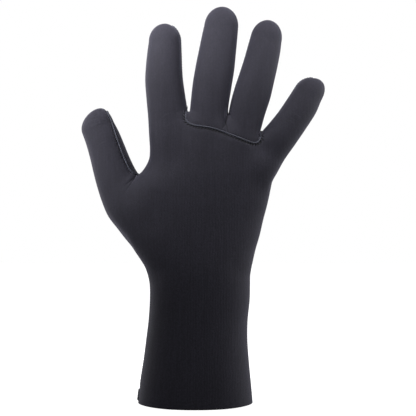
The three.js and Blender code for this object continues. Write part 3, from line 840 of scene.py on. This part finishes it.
threadPieces = {}
for name, thread in threads.items():
    points, faces, wave = ridgeSurface(seamPaths[name], thread)
    if thread["stitches"]:
        stitchPoints, stitchFaces = stitchSurface(seamPaths[name], thread["stitches"])
        faces += [[corner + len(points) for corner in face] for face in stitchFaces]
        points = np.concatenate([points, stitchPoints])
        # the stitches take the shade value, so the thread's colour darkens them as painted shade
        wave = np.concatenate([wave, np.full(len(stitchPoints), thread["shade"])])
    mesh = blenderMesh(name + "Thread", points, faces)
    addAttribute(mesh, "wave", wave)
    threadPieces[name] = linkPiece(name + "Ridge", mesh, name)
print("seam threads built")


# Sets a node's inputs by name or number: a socket of another node is linked, anything else is its value.
def fill(tree, inputs, values):
    for key, value in values.items():
        if isinstance(value, bpy.types.NodeSocket):
            tree.links.new(value, inputs[key])
        else:
            inputs[key].default_value = value


def addNode(tree, kind, inputs=None, **settings):
    node = tree.nodes.new("ShaderNode" + kind)
    for key, value in settings.items():
        setattr(node, key, value)
    fill(tree, node.inputs, inputs or {})
    return node


def calc(tree, operation, *values):
    return addNode(tree, "Math", dict(enumerate(values)), operation=operation).outputs[0]


def times(tree, product, *factors):
    for factor in factors:
        product = calc(tree, "MULTIPLY", product, factor)
    return product


# From nil at low to one at high, or the other way where it is falling.
def ramp(tree, value, low, high, kind="SMOOTHSTEP", falling=False):
    ends = {"To Min": 1.0, "To Max": 0.0} if falling else {}
    inputs = {"Value": value, "From Min": low, "From Max": high, **ends}
    return addNode(tree, "MapRange", inputs, interpolation_type=kind).outputs[0]


def noise(tree, place, scale, detail, roughness=0.5):
    inputs = {"Vector": place, "Scale": scale, "Detail": detail, "Roughness": roughness}
    return addNode(tree, "TexNoise", inputs).outputs["Fac"]


# A node group. Its inputs are numbers with their usual values, or vectors where None is given; it gives
# numbers.
def newGroup(name, inputs, outputs):
    tree = bpy.data.node_groups.new(name, "ShaderNodeTree")
    for label, value in inputs.items():
        kind = "NodeSocketVector" if value is None else "NodeSocketFloat"
        socket = tree.interface.new_socket(name=label, in_out="INPUT", socket_type=kind)
        if value is not None:
            socket.default_value = value
    for label in outputs:
        tree.interface.new_socket(name=label, in_out="OUTPUT", socket_type="NodeSocketFloat")
    return tree, tree.nodes.new("NodeGroupInput").outputs, tree.nodes.new("NodeGroupOutput").inputs


def placeGroup(tree, group, inputs):
    return addNode(tree, "Group", inputs, node_tree=group).outputs


wales = {"wander": 1.6, "wanderScale": 60.0, "courseLean": 0.6, "loopDepth": 0.22}


# Knitted jersey: upright wales, round across, with a loop in each course that is loopDepth deep. On the
# sides, where the cloth turns away, the wales are counted front to back instead of left to right. The furrow
# mask, one less the height, darkens the knit's low parts as painted shade.
def makeKnitGroup():
    tree, given, wanted = newGroup(
        "knitJersey", {"Position": None, "Turned Away": 0.0, "Wale Width": 1.1, "Course Height": 0.6},
        ("Height", "Furrow Shade"))
    waver = noise(tree, given["Position"], wales["wanderScale"], 1.0)
    split = addNode(tree, "SeparateXYZ", {0: given["Position"]}).outputs
    heights = []
    for side in ("X", "Y"):
        across = calc(tree, "MULTIPLY_ADD", split[side], 1000.0, times(tree, waver, wales["wander"]))
        wale = calc(tree, "FRACT", calc(tree, "DIVIDE", across, given["Wale Width"]))
        fromMiddle = calc(tree, "ABSOLUTE", calc(tree, "MULTIPLY_ADD", wale, 2.0, -1.0))
        courses = calc(tree, "DIVIDE", times(tree, split["Z"], 1000.0), given["Course Height"])
        course = calc(tree, "ADD", courses, times(tree, fromMiddle, wales["courseLean"]))
        wave = calc(tree, "SINE", times(tree, course, 2 * math.pi))
        loop = calc(tree, "MULTIPLY_ADD", wave, wales["loopDepth"], 1 - wales["loopDepth"])
        arch = calc(tree, "SQRT", calc(tree, "SUBTRACT", 1.0, times(tree, fromMiddle, fromMiddle)))
        heights.append(times(tree, loop, arch))
    both = {0: given["Turned Away"], 2: heights[0], 3: heights[1]}
    height = addNode(tree, "Mix", both, data_type="FLOAT").outputs[0]
    fill(tree, wanted, {"Height": height, "Furrow Shade": calc(tree, "SUBTRACT", 1.0, height)})
    return tree


# Fine fibre flecks, broad rubbed patches and upright streaks of uneven wales, each from nil to one.
def makeFibreGroup():
    tree, given, wanted = newGroup(
        "clothFibres", {"Position": None, "Fleck Scale": 850.0, "Patch Scale": 26.0},
        ("Flecks", "Patches", "Streaks"))
    place = given["Position"]
    upright = addNode(tree, "VectorMath", {0: place, 1: (1.0, 1.0, 0.05)}, operation="MULTIPLY").outputs[0]
    fill(tree, wanted, {
        "Flecks": ramp(tree, noise(tree, place, given["Fleck Scale"], 3.0, 0.65), 0.35, 0.7, "LINEAR"),
        "Patches": ramp(tree, noise(tree, place, given["Patch Scale"], 3.0), 0.3, 0.7, "LINEAR"),
        "Streaks": ramp(tree, noise(tree, upright, 480.0, 2.0, 0.6), 0.35, 0.65, "LINEAR")})
    return tree


# Distances from a seam's middle at which each mask starts and ends, in millimetres, and how deep the relief
# is.
beside = {
    "dimpleFrom": (0.35, 0.7), "dimpleTo": (1.9, 2.9), "seamShadeTo": (0.6, 2.0), "puckerTo": (2.0, 9.0),
    "gap": (-0.45, 0.5), "dimpleDepth": 0.45, "puckerHeight": 0.35, "puckerScale": 0.42,
}


# The cloth beside a seam: a slanting dimple at each stitch, and low puckers that fade with the distance.
# Seam Shade is a band along the seam that the cloth darkens as painted shade, and the Dimple mask darkens
# each dimple as painted shade.
def makePullGroup():
    tree, given, wanted = newGroup(
        "seamPull", {"Away": 10.0, "Along": 0.0, "Pull": 0.0, "Slant": 0.18}, ("Height", "Dimple", "Seam Shade"))
    away, along, pull = given["Away"], given["Along"], given["Pull"]
    leaning = calc(tree, "MULTIPLY_ADD", away, given["Slant"], along)
    between = ramp(tree, calc(tree, "COSINE", times(tree, leaning, 2 * math.pi)), *beside["gap"])
    near = ramp(tree, away, *beside["dimpleFrom"])
    far = ramp(tree, away, *beside["dimpleTo"], falling=True)
    dimple = times(tree, between, near, far, pull)
    stretched = {"X": times(tree, along, 2.0), "Y": times(tree, away, 0.12)}
    place = addNode(tree, "CombineXYZ", stretched).outputs[0]
    fade = ramp(tree, away, *beside["puckerTo"], falling=True)
    pucker = times(tree, noise(tree, place, beside["puckerScale"], 1.0), fade,
                   times(tree, pull, beside["puckerHeight"]))
    fill(tree, wanted, {
        "Height": calc(tree, "SUBTRACT", pucker, times(tree, dimple, beside["dimpleDepth"])),
        "Dimple": dimple, "Seam Shade": times(tree, ramp(tree, away, *beside["seamShadeTo"], falling=True), pull)})
    return tree


# A crease seen as a thin line on the back of the hand: the distance to the line from Start to End in the
# front view, as a mask that is whole on the line, nil a Width away, thins towards the End, and is nil on the
# palm. The cloth is darkened along it as painted shade.
def makeCreaseGroup():
    tree, given, wanted = newGroup(
        "creaseLine", {"Position": None, "Start": None, "End": None, "Width": 0.0007, "Fade": 0.0}, ("Mask",))
    def vector(operation, *inputs, output=0, **named):
        node = addNode(tree, "VectorMath", {**dict(enumerate(inputs)), **named}, operation=operation)
        return node.outputs[output]
    flat = vector("MULTIPLY", given["Position"], (1.0, 0.0, 1.0))
    reach = vector("SUBTRACT", given["End"], given["Start"])
    away = vector("SUBTRACT", flat, given["Start"])
    passed, whole = (vector("DOT_PRODUCT", part, reach, output="Value") for part in (away, reach))
    share = addNode(tree, "Clamp", {"Value": calc(tree, "DIVIDE", passed, whole)}).outputs[0]
    gap = vector("LENGTH", vector("SUBTRACT", away, vector("SCALE", reach, Scale=share)), output="Value")
    line = ramp(tree, gap, 0.0, given["Width"], falling=True)
    thinning = calc(tree, "SUBTRACT", 1.0, times(tree, share, given["Fade"]))
    depth = addNode(tree, "SeparateXYZ", {0: given["Position"]}).outputs["Y"]
    fill(tree, wanted, {"Mask": times(tree, line, thinning, calc(tree, "LESS_THAN", depth, 0.0))})
    return tree


knitGroup, fibreGroup = makeKnitGroup(), makeFibreGroup()
pullGroup, creaseGroup = makePullGroup(), makeCreaseGroup()


# A material with its tree, its shader's inputs and the place on the piece.
def newMaterial(name):
    material = bpy.data.materials.new(name)
    material.use_nodes = True
    tree = material.node_tree
    return material, tree, tree.nodes["Principled BSDF"].inputs, addNode(tree, "TexCoord").outputs["Object"]


def readAttribute(tree, name):
    return addNode(tree, "Attribute", attribute_name=name).outputs["Fac"]


# Colours laid over a tone one after another, each in its mask's share times its strength.
def layered(tree, tone, *layers):
    for mask, strength, colour in layers:
        mix = {0: times(tree, mask, strength), 6: tone, 7: colour}
        tone = addNode(tree, "Mix", mix, data_type="RGBA").outputs[2]
    return tone


def relief(tree, height, strength=1.0, distance=0.001):
    inputs = {"Strength": strength, "Distance": distance, "Height": height}
    return addNode(tree, "Bump", inputs).outputs[0]


# The cloth's tones and relief. The darkest tone is painted shade for the stitch dimples and the creases.
jersey = {
    "deep": (0.0066, 0.0062, 0.0095, 1), "face": (0.0164, 0.0156, 0.024, 1),
    "rubbed": (0.034, 0.0325, 0.047, 1), "shadeTone": (0.0015, 0.0015, 0.002, 1),
    "roughness": 0.75, "fleckRoughness": 0.1, "gloss": 0.22,
    "sheen": 0.16, "sheenRoughness": 0.4, "sheenTint": (0.78, 0.75, 1.0, 1),
    "waleHeight": 0.07, "fleckHeight": 0.03, "creaseHeight": -0.35,
}
# The sharp bottoms of the folds, darkened as painted shade: rows of (start and end as (x, z), width, how far
# it fades on its way).
creases = [
    ((23.9, 210.5), (23.0, 204.3), 0.9, 0.0), ((23.0, 204.3), (22.1, 200.4), 0.8, 0.1),
    ((22.1, 200.4), (19.8, 196.0), 0.7, 0.5), ((22.1, 200.4), (23.7, 193.6), 0.75, 0.3),
    ((-43.0, 162.9), (-37.8, 165.0), 0.8, 0.2), ((-42.1, 162.3), (-51.5, 154.3), 0.6, 0.9),
    ((-43.1, 160.6), (-52.1, 147.7), 0.5, 1.0),
]


# Knitted face over foam: wales and flecks in colour and relief, the pull of the nearest seam, and the
# creases. Painted shade darkens the knit's furrows, a band along each seam, the stitch dimples and the
# creases.
def jerseyMaterial():
    material, tree, shader, place = newMaterial("knittedNeoprene")
    knit = placeGroup(tree, knitGroup, {"Position": place, "Turned Away": readAttribute(tree, "turnedAway")})
    fibres = placeGroup(tree, fibreGroup, {"Position": place})
    pull = placeGroup(tree, pullGroup, {
        label: readAttribute(tree, "seam" + label) for label in ("Away", "Along", "Pull")})
    deepest = 0.0
    for start, end, width, fade in creases:
        start, end = ((x / 1000, 0, z / 1000) for x, z in (start, end))
        mask = placeGroup(tree, creaseGroup, {
            "Position": place, "Start": start, "End": end, "Width": width / 1000, "Fade": fade})["Mask"]
        deepest = calc(tree, "MAXIMUM", mask, deepest)
    deep, shadeTone = jersey["deep"], jersey["shadeTone"]
    # painted shade: the knit's furrows, the band along each seam, the stitch dimples and the creases are
    # darkened; flecks, patches and streaks are random tone
    tone = layered(
        tree, jersey["face"], (knit["Furrow Shade"], 0.75, deep), (fibres["Flecks"], 0.5, jersey["rubbed"]),
        (fibres["Patches"], 0.18, deep), (fibres["Streaks"], 0.22, deep), (pull["Seam Shade"], 0.55, deep),
        (pull["Dimple"], 0.9, shadeTone), (deepest, 0.75, shadeTone))
    height = calc(tree, "MULTIPLY_ADD", knit["Height"], jersey["waleHeight"], pull["Height"])
    height = calc(tree, "MULTIPLY_ADD", fibres["Flecks"], jersey["fleckHeight"], height)
    height = calc(tree, "MULTIPLY_ADD", deepest, jersey["creaseHeight"], height)
    roughness = calc(tree, "MULTIPLY_ADD", fibres["Flecks"], jersey["fleckRoughness"], jersey["roughness"])
    fill(tree, shader, {
        "Base Color": tone, "Normal": relief(tree, height), "Roughness": roughness,
        "Sheen Weight": jersey["sheen"],
        "Sheen Roughness": jersey["sheenRoughness"], "Sheen Tint": jersey["sheenTint"],
        "Specular IOR Level": jersey["gloss"]})
    return material


lining = {
    "face": (0.016, 0.016, 0.018, 1), "deep": (0.006, 0.006, 0.007, 1), "roughness": 0.82,
    "fleckRoughness": 0.08, "waleHeight": 0.12, "courseHeight": 0.9, "fleckScale": 900.0,
}


# The knitted lining inside: coarser courses and no seams to be seen.
def liningMaterial():
    material, tree, shader, place = newMaterial("knittedLining")
    knit = placeGroup(tree, knitGroup, {
        "Position": place, "Turned Away": readAttribute(tree, "turnedAway"),
        "Course Height": lining["courseHeight"]})
    fibres = placeGroup(tree, fibreGroup, {"Position": place, "Fleck Scale": lining["fleckScale"]})
    deep = lining["deep"]
    roughness = calc(tree, "MULTIPLY_ADD", fibres["Flecks"], lining["fleckRoughness"], lining["roughness"])
    # the knit's furrows darkened as painted shade; the patches are random tone
    tone = layered(tree, lining["face"], (knit["Furrow Shade"], 1.0, deep), (fibres["Patches"], 0.3, deep))
    fill(tree, shader, {
        "Base Color": tone, "Normal": relief(tree, times(tree, knit["Height"], lining["waleHeight"])),
        "Roughness": roughness})
    return material


foam = {
    "face": (0.02, 0.02, 0.021, 1), "pore": (0.004, 0.004, 0.004, 1), "roughness": 0.7, "poreScale": 2600.0,
    "poreEdge": (0.1, 0.45), "poreHeight": 0.0002,
}


# The cut edge of the foam: small closed cells, each cut-open cell darkened as painted shade.
def foamMaterial():
    material, tree, shader, place = newMaterial("cutFoamEdge")
    cells = addNode(tree, "TexVoronoi", {"Vector": place, "Scale": foam["poreScale"]}).outputs["Distance"]
    wallShare = ramp(tree, cells, *foam["poreEdge"], "LINEAR")
    fibres = placeGroup(tree, fibreGroup, {"Position": place})
    tone = layered(tree, foam["pore"], (wallShare, 1.0, foam["face"]), (fibres["Patches"], 0.3, foam["pore"]))
    fill(tree, shader, {
        "Base Color": tone, "Normal": relief(tree, wallShare, 0.8, foam["poreHeight"]),
        "Roughness": calc(tree, "MULTIPLY_ADD", wallShare, 0.15, foam["roughness"])})
    return material


thread = {
    "crown": (0.024, 0.0265, 0.055, 1), "groove": (0.004, 0.0045, 0.007, 1), "roughness": 0.5, "sheen": 0.1,
    "crownFrom": (-0.9, 0.3), "strandScale": 3200.0, "strandHeight": 0.12, "crownHeight": 0.1,
}


# Twisted thread: its slate colour on each lump's crown, with painted shade darkening the grooves between
# lumps and the stitches, and fine dark strands across.
def threadMaterial():
    material, tree, shader, place = newMaterial("slateSeamThread")
    strands = noise(tree, place, thread["strandScale"], 2.0)
    crown = ramp(tree, readAttribute(tree, "wave"), *thread["crownFrom"])
    tone = layered(tree, thread["groove"], (crown, 1.0, thread["crown"]), (strands, 0.5, thread["groove"]))
    height = times(tree, crown, thread["crownHeight"])
    height = calc(tree, "MULTIPLY_ADD", strands, thread["strandHeight"], height)
    fill(tree, shader, {
        "Base Color": tone, "Normal": relief(tree, height, 0.7), "Sheen Weight": thread["sheen"],
        "Roughness": calc(tree, "MULTIPLY_ADD", strands, 0.2, thread["roughness"])})
    return material


clothMaterials = [jerseyMaterial(), liningMaterial(), foamMaterial()]
for piece in clothPieces.values():
    for material in clothMaterials:
        piece.data.materials.append(material)
seamThread = threadMaterial()
for piece in threadPieces.values():
    piece.data.materials.append(seamThread)
print("materials on all pieces")

studio = {
    "floor": {
        "tone": (0.4, 0.4, 0.41, 1), "patch": (0.8, 0.8, 0.81, 1), "glow": 1.0, "size": 5.0,
        "height": -0.0022},
    "backdrop": 1.0, "fill": 0.4,
    "lights": {
        "left": {"at": (-0.7, 0.4, 0.15), "aim": (0, 0, 0.15), "size": 0.6, "power": 4.0},
        "right": {"at": (0.7, 0.1, 0.2), "aim": (0, 0, 0.18), "size": 0.6, "power": 5.0},
    },
    "camera": {"at": (0.0094, -1.0, 0.1397), "frameWidth": 0.2995, "sensor": 36},
}
spots = {
    "indexSide": {"at": (-0.38, -0.3, 0.6), "aim": (-0.045, 0, 0.282), "cone": 15, "size": 0.05, "power": 42},
    "upperFront": {"at": (0.02, -0.08, 0.44), "aim": (0.02, 0, 0.32), "cone": 50, "size": 0.1, "power": 5.0},
    "upperRight": {"at": (0.19, -0.08, 0.4), "aim": (0.1, 0, 0.28), "cone": 44, "size": 0.1, "power": 4.0},
    "thumbSide": {"at": (-0.5, -0.35, 0.4), "aim": (-0.09, 0, 0.19), "cone": 14, "size": 0.05, "power": 34},
}


# A pale plane that the camera sees as white, with the faintest patches in the grey that it throws back.
def studioFloor(ground):
    mesh = bpy.data.meshes.new("studioFloor")
    half, level = ground["size"] / 2, ground["height"]
    corners = [(-half, -half, level), (half, -half, level), (half, half, level), (-half, half, level)]
    mesh.from_pydata(corners, [], [(0, 1, 2, 3)])
    material, tree, shader, place = newMaterial("paleFloor")
    grain = placeGroup(tree, fibreGroup, {"Position": place, "Fleck Scale": 300.0, "Patch Scale": 3.0})
    seen = addNode(tree, "LightPath").outputs["Is Camera Ray"]
    tone = layered(tree, ground["tone"], (grain["Patches"], 0.02, ground["patch"]))
    fill(tree, shader, {
        "Base Color": tone, "Roughness": 0.8, "Specular IOR Level": 0.1, "Emission Color": (1, 1, 1, 1),
        "Emission Strength": times(tree, seen, ground["glow"])})
    mesh.materials.append(material)
    return newObject("studioFloor", mesh)


floor = studioFloor(studio["floor"])

world = bpy.data.worlds.new("paleStudio")
world.use_nodes = True
seen = addNode(world.node_tree, "LightPath").outputs["Is Camera Ray"]
strength = calc(world.node_tree, "MULTIPLY_ADD", seen, studio["backdrop"] - studio["fill"], studio["fill"])
background = world.node_tree.nodes["Background"].inputs
fill(world.node_tree, background, {"Color": (1, 1, 1, 1), "Strength": strength})
bpy.context.scene.world = world


def aimed(name, data, at, aim):
    item = newObject(name, data)
    item.location = at
    item.rotation_euler = (Vector(aim) - Vector(at)).to_track_quat("-Z", "Y").to_euler()
    return item


for name, light in studio["lights"].items():
    lamp = bpy.data.lights.new(name, "AREA")
    lamp.size = light["size"]
    lamp.energy = light["power"]
    aimed(name, lamp, light["at"], light["aim"])
for name, light in spots.items():
    spot = bpy.data.lights.new(name, "SPOT")
    spot.energy = light["power"]
    spot.spot_size = math.radians(light["cone"])
    spot.spot_blend = 1.0
    spot.shadow_soft_size = light["size"]
    aimed(name, spot, light["at"], light["aim"])
view = studio["camera"]
at = view["at"]
lens = bpy.data.cameras.new("photoView")
lens.sensor_width = view["sensor"]
lens.lens = view["sensor"] * -at[1] / view["frameWidth"]
bpy.context.scene.camera = aimed("photoView", lens, at, (at[0], 0, at[2]))
bpy.context.scene.view_settings.view_transform = "Standard"
print("studio ready")
